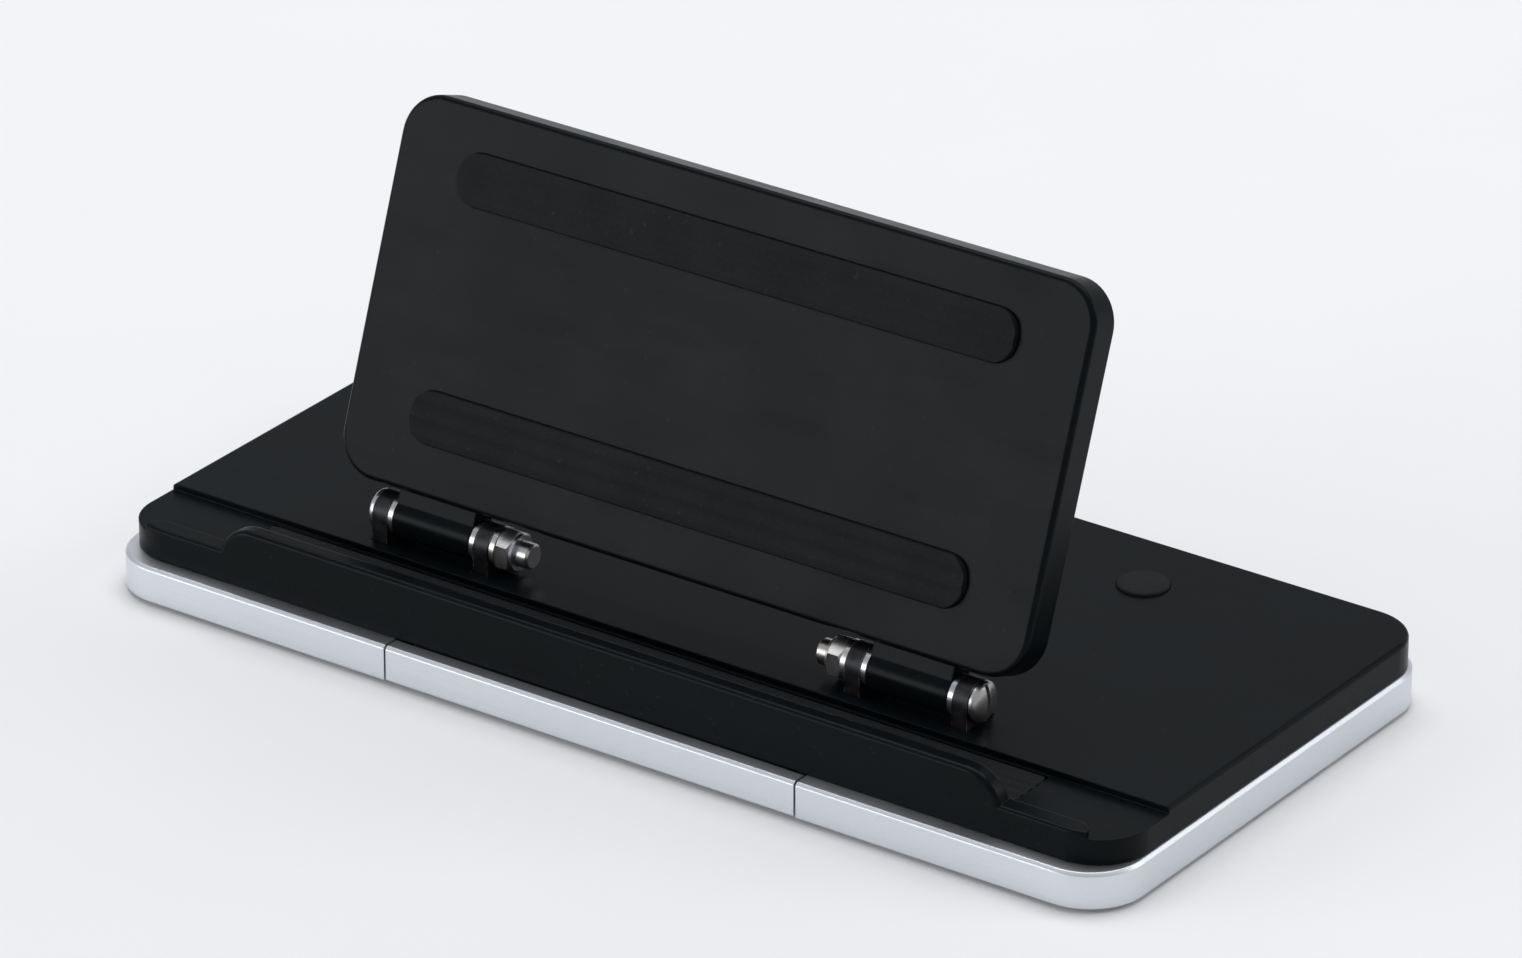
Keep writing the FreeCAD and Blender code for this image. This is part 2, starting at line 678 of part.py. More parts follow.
def make_friction_washers():
    """Washers between the ears and the knuckles, and one under each nut."""
    body = new_body("friction_washers")
    axis = [("-dims.hinge_behind", "dims.hinge_height")]
    inner_faces = (
        "(dims.ear_inner - dims.washer_thickness)",
        "(dims.ear_inner + dims.ear_thickness)",
        "(dims.ear_outer - dims.ear_thickness - dims.washer_thickness)",
    )
    for side, side_name in SIDES:
        for index, inner in enumerate(inner_faces):
            low = mirrored_span(side, inner, f"({inner} + dims.washer_thickness)")[0]
            disc = circles(body, f"disc_{side_name}_{index}", "YZ_Plane", low, axis, "dims.washer_radius")
            pad(body, disc, "dims.washer_thickness")
    bore = circles(body, "bore", "YZ_Plane", "dims.ear_outer + dims.pin_tail", axis,
                   "dims.pin_radius + dims.washer_gap")
    pocket(body, bore, "2 * (dims.ear_outer + dims.pin_tail)")
    return body


def make_hinge_nuts():
    """Hexagon nuts that set the hinge's friction."""
    solids = []
    for side, side_name in SIDES:
        low = mirrored_span(
            side, "(dims.ear_inner - dims.washer_thickness - dims.nut_length)",
            "(dims.ear_inner - dims.washer_thickness)",
        )[0]
        hexagon = doc.addObject("Part::Prism", f"nut_blank_{side_name}")
        hexagon.Polygon = 6
        hexagon.setExpression("Circumradius", "dims.nut_radius")
        hexagon.setExpression("Height", "dims.nut_length")
        thread = doc.addObject("Part::Cylinder", f"nut_thread_{side_name}")
        thread.setExpression("Radius", "dims.pin_radius + dims.pin_fit")
        thread.setExpression("Height", "dims.nut_length")
        for blank in (hexagon, thread):
            blank.Placement = FreeCAD.Placement(FreeCAD.Vector(0, 0, 0), ALONG_X)
            blank.setExpression("Placement.Base.x", low)
            blank.setExpression("Placement.Base.y", "-dims.hinge_behind")
            blank.setExpression("Placement.Base.z", "dims.hinge_height")
        nut = doc.addObject("Part::Cut", f"nut_{side_name}")
        nut.Base = hexagon
        nut.Tool = thread
        solids.append(nut)
    pair = doc.addObject("Part::Compound", "hinge_nuts")
    pair.Links = solids
    pair.Label = "hinge_nuts"
    return pair


def make_tray_front():
    """Metal front of the tray, which closes the gap in the band."""
    body = new_body("tray_front")
    bar = rectangle(
        body, "bar", "XY_Plane", "dims.foot_proud + dims.tray_front_lift",
        "-dims.tray_front_width / 2", "dims.tray_front_width / 2",
        "-dims.base_depth / 2", TRAY_START,
    )
    pad(body, bar, "dims.band_height - dims.tray_front_lift")
    on_top = at_level(body.evalExpression(BAND_TOP))
    for name, place, size in (
        ("front_edge", "-dims.base_depth / 2", "dims.band_chamfer"),
        ("inner_edge", TRAY_START, "dims.tray_front_edge"),
    ):
        row = body.evalExpression(place)

        def in_row(edge):
            box = edge.BoundBox
            return on_top(edge) and abs(box.YMin - row) < NEAR and abs(box.YMax - row) < NEAR

        chamfer(body, name, size, in_row)
    screws = circles(
        body, "pilots", "XZ_Plane", f"-({TRAY_START})",
        tray_screw_places(), "dims.tray_screw_radius + dims.pilot_gap",
    )
    pocket(body, screws, "dims.tray_screw_bite + dims.pilot_gap", reverse=True)
    return body


def tray_screw_places():
    """Two screws that hold the tray to its front, as X and Z places."""
    return [(f"{sign}dims.tray_screw_spread", f"{TRAY_LOW} + dims.tray_screw_height") for sign in ("-", "")]


def make_tray_body():
    """Shallow plastic tray with a rib along each side that runs in the guides."""
    body = new_body("tray_body")
    block = rectangle(
        body, "block", "XY_Plane", TRAY_LOW,
        "-dims.tray_width / 2", "dims.tray_width / 2", TRAY_START, f"{TRAY_START} + dims.tray_depth",
    )
    pad(body, block, "dims.tray_height")
    recess = rectangle(
        body, "recess", "XY_Plane", f"{TRAY_LOW} + dims.tray_height",
        "-dims.tray_width / 2 + dims.tray_wall", "dims.tray_width / 2 - dims.tray_wall",
        f"{TRAY_START} + dims.tray_wall", f"{TRAY_START} + dims.tray_depth - dims.tray_wall",
    )
    pocket(body, recess, "dims.tray_height - dims.tray_floor")
    ribs = new_sketch(body, "ribs", "XY_Plane", RIB_LOW)
    for side, _ in SIDES:
        left, right = mirrored_span(
            side, "(dims.tray_width / 2 - dims.rib_root)", "(dims.tray_width / 2 + dims.rib_reach)",
        )
        start = f"{TRAY_START} + dims.rib_setback"
        add_rectangle(ribs, left, right, start, f"{TRAY_START} + dims.tray_depth")
    pad(body, ribs, "dims.rib_height")
    holes = circles(
        body, "screw_holes", "XZ_Plane", f"-({TRAY_START} + dims.tray_wall)",
        tray_screw_places(), "dims.tray_screw_radius + dims.pilot_gap",
    )
    pocket(body, holes, "dims.tray_wall", reverse=True)
    return body


def make_tray_liner():
    """Thin mat that lines the floor of the tray."""
    body = new_body("tray_liner")
    mat = rectangle(
        body, "mat", "XY_Plane", f"{TRAY_LOW} + dims.tray_floor",
        "-dims.tray_width / 2 + dims.tray_wall + dims.liner_gap",
        "dims.tray_width / 2 - dims.tray_wall - dims.liner_gap",
        f"{TRAY_START} + dims.tray_wall + dims.tray_screw_head_height + dims.liner_gap",
        f"{TRAY_START} + dims.tray_depth - dims.tray_wall - dims.liner_gap",
    )
    pad(body, mat, "dims.liner_thickness")
    return body


def make_tray_screws():
    """Two small screws from inside the tray into its front."""
    body = new_body("tray_screws")
    seat = f"-({TRAY_START} + dims.tray_wall)"
    shanks = circles(body, "shanks", "XZ_Plane", seat, tray_screw_places(), "dims.tray_screw_radius")
    pad(body, shanks, "dims.tray_wall + dims.tray_screw_bite")
    heads = circles(body, "heads", "XZ_Plane", seat, tray_screw_places(), "dims.tray_screw_head_radius")
    pad(body, heads, "dims.tray_screw_head_height", reverse=True)
    return body


def make_tray_guide(side, side_name):
    """Low-friction rail on the bottom cover with a groove for the tray's rib."""
    body = new_body(f"tray_guide_{side_name}")
    inner = "(dims.tray_width / 2 + dims.tray_clearance)"
    left, right = mirrored_span(side, inner, f"({inner} + dims.guide_width)")
    rail = rectangle(
        body, "rail", "XY_Plane", COVER_TOP,
        left, right,
        f"-{CAVITY_HALF_DEPTH} + dims.guide_setback", f"{TRAY_START} + dims.tray_depth + dims.guide_overrun",
    )
    pad(body, rail, "dims.tray_height + dims.tray_clearance")
    left, right = mirrored_span(
        side, f"({inner} - dims.overcut)", "(dims.tray_width / 2 + dims.rib_reach + dims.rib_clearance)",
    )
    groove = rectangle(
        body, "groove", "XZ_Plane", f"-({TRAY_START} + dims.tray_depth + dims.tray_clearance)",
        left, right, f"{RIB_LOW} - dims.rib_clearance", f"{RIB_LOW} + dims.rib_height + dims.rib_clearance",
    )
    pocket(body, groove, "dims.tray_depth", reverse=True)
    return body


def make_backrest_panel():
    """Moulded panel that the device leans on, open at the back, with two hinge knuckles."""
    body = new_body("backrest_panel")
    plate = rectangle(
        body, "plate", "XZ_Plane", "-dims.panel_back",
        "-dims.panel_width / 2", "dims.panel_width / 2", "dims.panel_start", "dims.panel_end",
    )
    pad(body, plate, "dims.panel_front + dims.panel_back")
    fillet(body, "corners", "dims.panel_corner", through)
    front = body.evalExpression("-dims.panel_front")

    def front_rim(edge):
        return abs(edge.BoundBox.YMax - front) < NEAR

    fillet(body, "front_edge", "dims.panel_edge_radius", front_rim)
    hollow = rectangle(
        body, "hollow", "XZ_Plane", "-dims.panel_back",
        "-dims.panel_width / 2 + dims.panel_rim", "dims.panel_width / 2 - dims.panel_rim",
        "dims.panel_start + dims.panel_rim", "dims.panel_end - dims.panel_rim",
    )
    pocket(body, hollow, "dims.panel_front + dims.panel_back - dims.panel_skin", reverse=True)
    for index, start in enumerate(("dims.lower_pad_start", "dims.upper_pad_start")):
        seat = rectangle(
            body, f"pad_seat_{index}", "XZ_Plane", "dims.panel_front",
            "-dims.rest_pad_length / 2 - dims.pad_gap", "dims.rest_pad_length / 2 + dims.pad_gap",
            f"{start} - dims.pad_gap", f"{start} + dims.rest_pad_width + dims.pad_gap",
        )
        pocket(body, seat, "dims.rest_pad_sunk")
    sunk = body.evalExpression("dims.rest_pad_sunk")

    def seat_corner(edge):
        return through(edge) and abs(edge.BoundBox.YLength - sunk) < NEAR

    fillet(body, "seat_corners", "dims.rest_pad_corner + dims.pad_gap", seat_corner)
    for side, side_name in SIDES:
        low = mirrored_span(side, KNUCKLE_INNER, KNUCKLE_OUTER)[0]
        length = f"{KNUCKLE_OUTER} - {KNUCKLE_INNER}"
        arm = rectangle(
            body, f"arm_{side_name}", "YZ_Plane", low,
            "-dims.arm_front", "dims.panel_back", "dims.arm_start", "dims.panel_start + dims.arm_overlap",
        )
        pad(body, arm, length)
        barrel = circle_at_origin(body, f"barrel_{side_name}", "YZ_Plane", low, "dims.ear_radius")
        pad(body, barrel, length)
    bore = circle_at_origin(body, "bore", "YZ_Plane", "dims.ear_outer", "dims.pin_radius + dims.running_gap")
    pocket(body, bore, "2 * dims.ear_outer")
    pilots = circles(
        body, "pilots", "XZ_Plane", "-dims.panel_back",
        backrest_screw_places(), "dims.screw_radius + dims.pilot_gap",
    )
    pocket(body, pilots, "dims.cover_pilot_depth", reverse=True)
    lean(body)
    return body


def backrest_screw_places():
    """Four screws in the corners of the back cover, as X and Z places in the backrest's frame."""
    places = []
    for sign in ("-", ""):
        for height in (
            "(dims.panel_start + dims.cover_screw_rise)",
            "(dims.panel_end - dims.cover_screw_rise)",
        ):
            places.append((f"{sign}(dims.panel_width / 2 - dims.cover_screw_side)", height))
    return places


def make_backrest_cover():
    """Metal plate that closes the back of the panel."""
    body = new_body("backrest_cover")
    plate = rectangle(
        body, "plate", "XZ_Plane", "-dims.panel_back - dims.back_cover_thickness",
        "-dims.panel_width / 2 + dims.back_cover_inset", "dims.panel_width / 2 - dims.back_cover_inset",
        "dims.panel_start + dims.back_cover_inset", "dims.panel_end - dims.back_cover_inset",
    )
    pad(body, plate, "dims.back_cover_thickness")
    fillet(body, "corners", "dims.panel_corner - dims.back_cover_inset", through)
    holes = circles(
        body, "holes", "XZ_Plane", "-dims.panel_back - dims.back_cover_thickness",
        backrest_screw_places(), "dims.screw_head_radius + dims.sink_gap",
    )
    pocket(body, holes, "dims.back_cover_thickness", reverse=True)
    lean(body)
    return body


def make_backrest_pad(name, start):
    """Rubber strip on the front of the panel that the device's back touches."""
    body = new_body(name)
    strip = rectangle(
        body, "strip", "XZ_Plane", "dims.panel_front - dims.rest_pad_sunk",
        "-dims.rest_pad_length / 2", "dims.rest_pad_length / 2", start, f"{start} + dims.rest_pad_width",
    )
    pad(body, strip, "dims.rest_pad_sunk + dims.rest_pad_proud")
    fillet(body, "ends", "dims.rest_pad_corner", through)
    lean(body)
    return body


def make_backrest_screws():
    """Flat screws flush with the back cover."""
    body = new_body("backrest_screws")
    places = backrest_screw_places()
    heads = circles(
        body, "heads", "XZ_Plane", "-dims.panel_back - dims.back_cover_thickness",
        places, "dims.screw_head_radius",
    )
    pad(body, heads, "dims.back_cover_thickness")
    shanks = circles(body, "shanks", "XZ_Plane", "-dims.panel_back", places, "dims.screw_radius")
    pad(body, shanks, "dims.cover_screw_bite")
    lean(body)
    return body


def build():
    """Make every sub-part and return them in assembly order."""
    fill_sheet()
    pieces = [
        make_bottom_cover(),
        make_base_band(),
        make_top_shell(),
        make_channel_pad(),
        make_ballast_plate(),
        make_deck_bumpers(),
        make_screws("case_screws", four_corners("dims.case_screw_spread", "dims.case_screw_reach"),
                    "(dims.foot_proud + dims.screw_head_height - dims.screw_head_proud)",
                    "dims.case_screw_length"),
        make_screws("hinge_screws", hinge_screw_places(), FLANGE_LOW, "dims.hinge_screw_length"),
        make_screws("ballast_screws", ballast_screw_places(),
                    f"({CEILING} - dims.ballast_thickness)", "dims.ballast_screw_length"),
        make_friction_washers(),
        make_hinge_nuts(),
        make_tray_front(),
        make_tray_body(),
        make_tray_liner(),
        make_tray_screws(),
        make_backrest_panel(),
        make_backrest_cover(),
        make_backrest_pad("backrest_pad_lower", "dims.lower_pad_start"),
        make_backrest_pad("backrest_pad_upper", "dims.upper_pad_start"),
        make_backrest_screws(),
    ]
    for side, side_name in SIDES:
        pieces.append(make_hinge_bracket(side, side_name))
        pieces.append(make_hinge_pin(side, side_name))
        pieces.append(make_tray_guide(side, side_name))
    for x_sign, side_name in (("-", "left"), ("", "right")):
        for y_sign, end_name in (("-", "front"), ("", "rear")):
            place = (f"{x_sign}dims.foot_spread", f"{y_sign}dims.foot_reach")
            pieces.append(make_foot(f"foot_{end_name}_{side_name}", place))
    doc.recompute()
    return pieces


def check(pieces):
    """Stop if any object failed to compute or any sub-part is not a sound solid."""
    for item in doc.Objects:
        if "Invalid" in item.State or "Error" in item.State:
            raise RuntimeError(f"{item.Name} failed: {item.State}")
    for piece in pieces:
        if piece.Shape.isNull() or not piece.Shape.isValid() or not piece.Shape.Solids:
            raise RuntimeError(f"{piece.Label} has no sound solid")


def export(pieces):
    """Write one STEP file for each sub-part."""
    os.makedirs("parts", exist_ok=True)
    for piece in pieces:
        piece.Shape.exportStep(f"parts/{piece.Label}.step")


sub_parts = build()
check(sub_parts)
export(sub_parts)
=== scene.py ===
"""Looks of a folding tablet stand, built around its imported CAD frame.

Everything is in metres, in the frame of the CAD model: X along the base, Y to the rear, Z up.
"""
import json
import math

import bmesh
import bpy
from mathutils import Matrix, Vector


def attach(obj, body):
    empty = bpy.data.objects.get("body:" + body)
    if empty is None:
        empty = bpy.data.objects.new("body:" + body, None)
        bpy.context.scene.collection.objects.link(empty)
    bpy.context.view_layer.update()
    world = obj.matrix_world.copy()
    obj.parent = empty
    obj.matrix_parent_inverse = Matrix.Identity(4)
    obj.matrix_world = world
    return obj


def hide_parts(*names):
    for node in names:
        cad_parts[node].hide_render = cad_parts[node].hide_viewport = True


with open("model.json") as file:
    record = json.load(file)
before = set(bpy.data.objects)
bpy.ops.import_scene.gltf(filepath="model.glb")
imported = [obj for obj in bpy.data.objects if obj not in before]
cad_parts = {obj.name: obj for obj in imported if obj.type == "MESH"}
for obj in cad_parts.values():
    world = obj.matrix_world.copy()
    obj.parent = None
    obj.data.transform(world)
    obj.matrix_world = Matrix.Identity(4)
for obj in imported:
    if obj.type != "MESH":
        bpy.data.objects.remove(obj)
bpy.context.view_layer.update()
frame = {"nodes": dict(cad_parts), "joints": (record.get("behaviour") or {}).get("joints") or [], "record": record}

MM = 0.001
QUARTER_TURN = math.pi / 2
SMOOTH_ANGLE = math.radians(35)   # edges flatter than this are shaded smooth
ON_AXIS = 1e-6                    # a smaller radius is a point on the axis of a turned shape
OVERSHOOT = 1.0                   # how far a cutting tool runs past what it cuts, in millimetres

# the photo camera's place, with a longer lens aimed at the stand
CAMERA_PLACE = Vector((0.5382, -0.7546, 0.4716))
CAMERA_TARGET = Vector((0.0, 0.0, 0.020))
CAMERA_LENS = 222.0

# the backrest's own frame: origin on the hinge axis, Z up the panel, Y through it to the back
LEAN = math.radians(20)
HINGE = next(joint for joint in frame["joints"] if joint["name"] == "backrest_tilt")
BACKREST = Matrix.Translation(HINGE["pos_m"]) @ Matrix.Rotation(-LEAN, 4, "X")


# ---------------------------------------------------------------- materials

class Shader:
    """A material's node tree, with short ways to add and link nodes."""

    def __init__(self, name):
        self.material = bpy.data.materials.new(name)
        self.material.use_nodes = True
        self.tree = self.material.node_tree
        self.surface = self.tree.nodes["Principled BSDF"]
        self.place = self.add("ShaderNodeTexCoord").outputs["Object"]

    def add(self, kind, inputs=(), **settings):
        """Add a node; inputs are (socket, value or linked socket) pairs."""
        node = self.tree.nodes.new(kind)
        for name, value in settings.items():
            setattr(node, name, value)
        for socket, value in inputs:
            if isinstance(value, bpy.types.NodeSocket):
                self.tree.links.new(value, node.inputs[socket])
            else:
                node.inputs[socket].default_value = value
        return node

    def set(self, **values):
        """Set constant values on the surface shader's own sockets."""
        for name, value in values.items():
            self.surface.inputs[name.replace("_", " ")].default_value = value

    def link(self, socket, value):
        """Link a value to one of the surface shader's sockets."""
        self.tree.links.new(value, self.surface.inputs[socket])

    def stretched(self, scale, turn=(0, 0, 0)):
        """Object coordinates scaled by a different amount along each axis."""
        inputs = [("Vector", self.place), ("Rotation", turn), ("Scale", scale)]
        return self.add("ShaderNodeMapping", inputs).outputs["Vector"]

    def noise(self, scale, detail=3.0, place=None, roughness=0.5):
        """A noise pattern with this many features to the metre."""
        vector = self.place if place is None else place
        inputs = [("Vector", vector), ("Scale", scale), ("Detail", detail), ("Roughness", roughness)]
        return self.add("ShaderNodeTexNoise", inputs).outputs["Fac"]

    def cells(self, scale):
        """Distance from the middle of the nearest of many scattered cells."""
        inputs = [("Vector", self.place), ("Scale", scale)]
        return self.add("ShaderNodeTexVoronoi", inputs).outputs["Distance"]

    def remap(self, value, low, high, to_low=0.0, to_high=1.0):
        """Stretch a value from one range to another, held at the ends."""
        inputs = [
            ("Value", value), ("From Min", low), ("From Max", high),
            ("To Min", to_low), ("To Max", to_high),
        ]
        return self.add("ShaderNodeMapRange", inputs).outputs["Result"]

    def maths(self, operation, first, second):
        """One arithmetic step."""
        inputs = [(0, first), (1, second)]
        return self.add("ShaderNodeMath", inputs, operation=operation).outputs[0]

    def mix(self, factor, first, second):
        """Mix two colours by a factor."""
        node = self.add("ShaderNodeMix", data_type="RGBA")
        for index, value in ((0, factor), (6, first), (7, second)):
            if isinstance(value, bpy.types.NodeSocket):
                self.tree.links.new(value, node.inputs[index])
            elif index == 0:
                node.inputs[index].default_value = value
            else:
                node.inputs[index].default_value = (*value, 1.0)
        return node.outputs[2]

    def soft_edges(self, radius):
        """Normals rounded over the sharp edges, as moulding or deburring leaves them."""
        return self.add("ShaderNodeBevel", [("Radius", radius)], samples=6).outputs["Normal"]

    def edge_mask(self, rounded, strength=9.0):
        """One on rounded-over edges, falling to nothing on flat faces."""
        true_normal = self.add("ShaderNodeNewGeometry").outputs["Normal"]
        dot = self.add("ShaderNodeVectorMath", [(0, rounded), (1, true_normal)], operation="DOT_PRODUCT")
        return self.maths("MULTIPLY", self.maths("SUBTRACT", 1.0, dot.outputs["Value"]), strength)

    def bump(self, height, distance, strength=1.0, normal=None):
        """Turn a height into a normal."""
        inputs = [("Height", height), ("Distance", distance), ("Strength", strength)]
        if normal is not None:
            inputs.append(("Normal", normal))
        return self.add("ShaderNodeBump", inputs).outputs["Normal"]


def satin_plastic(name, colour, worn_and_highlight, roughness, grain, grain_depth, specular=0.35):
    """Moulded plastic: fine spark-eroded grain, handling marks, dust, edges polished by use, and edges painted
    paler, partly wear and partly a painted highlight.
    """
    shader = Shader(name)
    rounded = shader.soft_edges(0.22 * MM)
    edges = shader.edge_mask(rounded)
    fine = shader.noise(grain, 2.0)
    broad = shader.noise(70.0, 4.0)
    wiped = shader.stretched((0.15, 1.0, 0.6), (0.3, 0.2, 0.5))
    smears = shader.noise(420.0, 3.0, place=wiped)
    dust = shader.remap(shader.noise(1400.0, 1.0), 0.74, 0.80)
    edge_patchiness = shader.remap(shader.noise(160.0, 3.0), 0.3, 0.7)
    patchy_edges = shader.maths("MULTIPLY", shader.remap(edges, 0.2, 1.6), edge_patchiness)
    tone = shader.mix(shader.remap(broad, 0.35, 0.7), colour, [channel * 1.35 for channel in colour])
    # painted highlight: patchy edges tinted towards a paler colour, partly real wear and partly a painted
    # highlight along the edges
    tone = shader.mix(shader.maths("MULTIPLY", patchy_edges, 0.3), tone, worn_and_highlight)
    tone = shader.mix(shader.maths("MULTIPLY", dust, 0.05), tone, (0.20, 0.20, 0.19))
    shader.link("Base Color", tone)
    rough = shader.remap(broad, 0.3, 0.7, roughness - 0.05, roughness + 0.05)
    rough = shader.maths("ADD", rough, shader.remap(smears, 0.5, 0.75, 0.0, 0.05))
    rough = shader.maths("SUBTRACT", rough, shader.maths("MULTIPLY", patchy_edges, 0.10))
    shader.link("Roughness", rough)
    shader.set(Specular_IOR_Level=specular)
    shader.link("Normal", shader.bump(fine, grain_depth, 0.6, rounded))
    return shader.material


def satin_metal(name, colour, roughness, lines, line_depth):
    """Anodised aluminium: fine brushed lines, faint mottling and edges painted brighter, partly bare deburred
    metal and partly a painted highlight.
    """
    shader = Shader(name)
    rounded = shader.soft_edges(0.2 * MM)
    edges = shader.remap(shader.edge_mask(rounded), 0.05, 0.8)
    brushed = shader.noise(1.0, 4.0, place=shader.stretched(lines), roughness=0.65)
    coarse = shader.noise(0.35, 3.0, place=shader.stretched(lines))
    mottle = shader.noise(120.0, 4.0)
    specks = shader.remap(shader.noise(3800.0, 2.0), 0.66, 0.76)
    darker = [channel * 0.93 for channel in colour]
    tone = shader.mix(shader.remap(brushed, 0.35, 0.65), darker, colour)
    tone = shader.mix(shader.maths("MULTIPLY", shader.remap(mottle, 0.35, 0.7), 0.25), tone, darker)
    tone = shader.mix(shader.maths("MULTIPLY", specks, 0.3), tone, [channel * 0.6 for channel in colour])
    # painted highlight: edges mixed towards near-white, partly bare deburred metal and partly a painted highlight
    # along the edges
    tone = shader.mix(shader.maths("MULTIPLY", edges, 0.35), tone, (0.90, 0.91, 0.94))
    shader.link("Base Color", tone)
    rough = shader.remap(brushed, 0.3, 0.7, roughness - 0.05, roughness + 0.06)
    rough = shader.maths("ADD", rough, shader.remap(coarse, 0.4, 0.7, -0.02, 0.04))
    shader.link("Roughness", shader.maths("SUBTRACT", rough, shader.maths("MULTIPLY", edges, 0.08)))
    shader.set(Metallic=1.0)
    grain = shader.noise(9000.0, 2.0)
    blasted = shader.bump(grain, 0.002 * MM, 0.5, rounded)
    shader.link("Normal", shader.bump(brushed, line_depth, 0.35, blasted))
    return shader.material


def plated_steel(name, colour, roughness):
    """Zinc-plated steel: turned marks, cloudy plating and a slight warm and cool tint."""
    shader = Shader(name)
    rounded = shader.soft_edges(0.08 * MM)
    cloud = shader.noise(450.0, 4.0)
    tint = shader.noise(160.0, 2.0)
    fine = shader.noise(5200.0, 3.0)
    warm = [colour[0] * 1.04, colour[1] * 0.99, colour[2] * 0.90]
    cool = [colour[0] * 0.92, colour[1] * 0.97, colour[2] * 1.05]
    tone = shader.mix(shader.remap(tint, 0.35, 0.65), cool, warm)
    tone = shader.mix(shader.maths("MULTIPLY", shader.remap(cloud, 0.45, 0.7), 0.35), tone, colour)
    shader.link("Base Color", tone)
    shader.link("Roughness", shader.remap(cloud, 0.3, 0.7, roughness - 0.06, roughness + 0.08))
    shader.set(Metallic=1.0)
    shader.link("Normal", shader.bump(fine, 0.004 * MM, 0.5, rounded))
    return shader.material


def black_oxide(name):
    """Blackened steel with bare metal showing along its edges."""
    shader = Shader(name)
    rounded = shader.soft_edges(0.15 * MM)
    edges = shader.remap(shader.edge_mask(rounded), 0.1, 1.0)
    patches = shader.noise(800.0, 4.0)
    patchy_edges = shader.maths("MULTIPLY", edges, shader.remap(patches, 0.42, 0.6))
    tone = shader.mix(shader.remap(patches, 0.3, 0.7), (0.020, 0.021, 0.024), (0.045, 0.045, 0.048))
    shader.link("Base Color", shader.mix(patchy_edges, tone, (0.42, 0.41, 0.40)))
    shader.link("Roughness", shader.remap(patches, 0.3, 0.7, 0.38, 0.52))
    shader.set(Metallic=0.85)
    shader.link("Normal", shader.bump(shader.noise(4200.0, 3.0), 0.006 * MM, 0.5, rounded))
    return shader.material


def soft_rubber(name, colour):
    """Silicone rubber: dull, fine-grained, with lint and paler rubbed crests."""
    shader = Shader(name)
    rounded = shader.soft_edges(0.12 * MM)
    edges = shader.remap(shader.edge_mask(rounded), 0.1, 1.4)
    grain = shader.noise(4800.0, 4.0)
    bloom = shader.noise(140.0, 5.0)
    fibres = shader.noise(1500.0, 6.0, place=shader.stretched((1.0, 0.35, 1.0), (0, 0, 0.6)))
    lint = shader.remap(fibres, 0.66, 0.74)
    tone = shader.mix(shader.remap(bloom, 0.35, 0.7), colour, [channel * 1.5 for channel in colour])
    tone = shader.mix(shader.maths("MULTIPLY", lint, 0.04), tone, (0.32, 0.31, 0.30))
    tone = shader.mix(shader.maths("MULTIPLY", edges, 0.06), tone, (0.10, 0.10, 0.10))
    shader.link("Base Color", tone)
    shader.link("Roughness", shader.remap(grain, 0.3, 0.7, 0.68, 0.84))
    shader.set(Specular_IOR_Level=0.18)
    shader.link("Normal", shader.bump(grain, 0.012 * MM, 0.6, rounded))
    return shader.material


def acetal(name):
    """Natural acetal: slightly waxy, off-white, with flow marks."""
    shader = Shader(name)
    rounded = shader.soft_edges(0.12 * MM)
    flow = shader.noise(260.0, 4.0, place=shader.stretched((1.0, 0.3, 1.0)))
    tone = shader.mix(shader.remap(flow, 0.35, 0.65), (0.70, 0.69, 0.64), (0.80, 0.79, 0.75))
    shader.link("Base Color", tone)
    shader.link("Roughness", shader.remap(flow, 0.3, 0.7, 0.40, 0.55))
    shader.set(Subsurface_Weight=0.15, Subsurface_Scale=0.5 * MM)
    shader.link("Normal", shader.bump(shader.noise(3000.0, 3.0), 0.01 * MM, 0.5, rounded))
    return shader.material


def foam_mat(name):
    """Closed-cell foam mat with fine pores."""
    shader = Shader(name)
    pores = shader.cells(2600.0)
    cloud = shader.noise(220.0, 4.0)
    tone = shader.mix(shader.remap(pores, 0.05, 0.45), (0.018, 0.019, 0.021), (0.050, 0.052, 0.056))
    shader.link("Base Color", shader.mix(shader.maths("MULTIPLY", cloud, 0.3), tone, (0.07, 0.07, 0.075)))
    shader.link("Roughness", shader.remap(cloud, 0.3, 0.7, 0.82, 0.95))
    shader.link("Normal", shader.bump(pores, 0.05 * MM, 0.7))
    return shader.material


BLACK = (0.0025, 0.0041, 0.0050)
SILVER = (0.76, 0.78, 0.82)

MATERIALS = {
    # shell_black's paler edge colour is partly wear and partly a painted highlight along its edges
    "shell_black": satin_plastic(
        "shell_black", BLACK, worn_and_highlight=(0.022, 0.026, 0.030), roughness=0.30,
        grain=3600.0, grain_depth=0.0018 * MM, specular=0.07,
    ),
    "cover_black": satin_plastic(
        "cover_black", (0.010, 0.010, 0.011), worn_and_highlight=(0.06, 0.06, 0.06), roughness=0.58,
        grain=1900.0, grain_depth=0.02 * MM,
    ),
    "band_metal": satin_metal(
        "band_metal", SILVER, roughness=0.40, lines=(30.0, 30.0, 15000.0), line_depth=0.0012 * MM,
    ),
    "plate_metal": satin_metal(
        "plate_metal", SILVER, roughness=0.32, lines=(25.0, 9000.0, 14000.0), line_depth=0.002 * MM,
    ),
    "steel": plated_steel("steel", (0.56, 0.56, 0.58), 0.30),
    "dark_steel": black_oxide("dark_steel"),
    "rubber": soft_rubber("rubber", (0.0065, 0.0070, 0.0078)),
    "guide_white": acetal("guide_white"),
    "tray_mat": foam_mat("tray_mat"),
}


# ---------------------------------------------------------------- mesh helpers

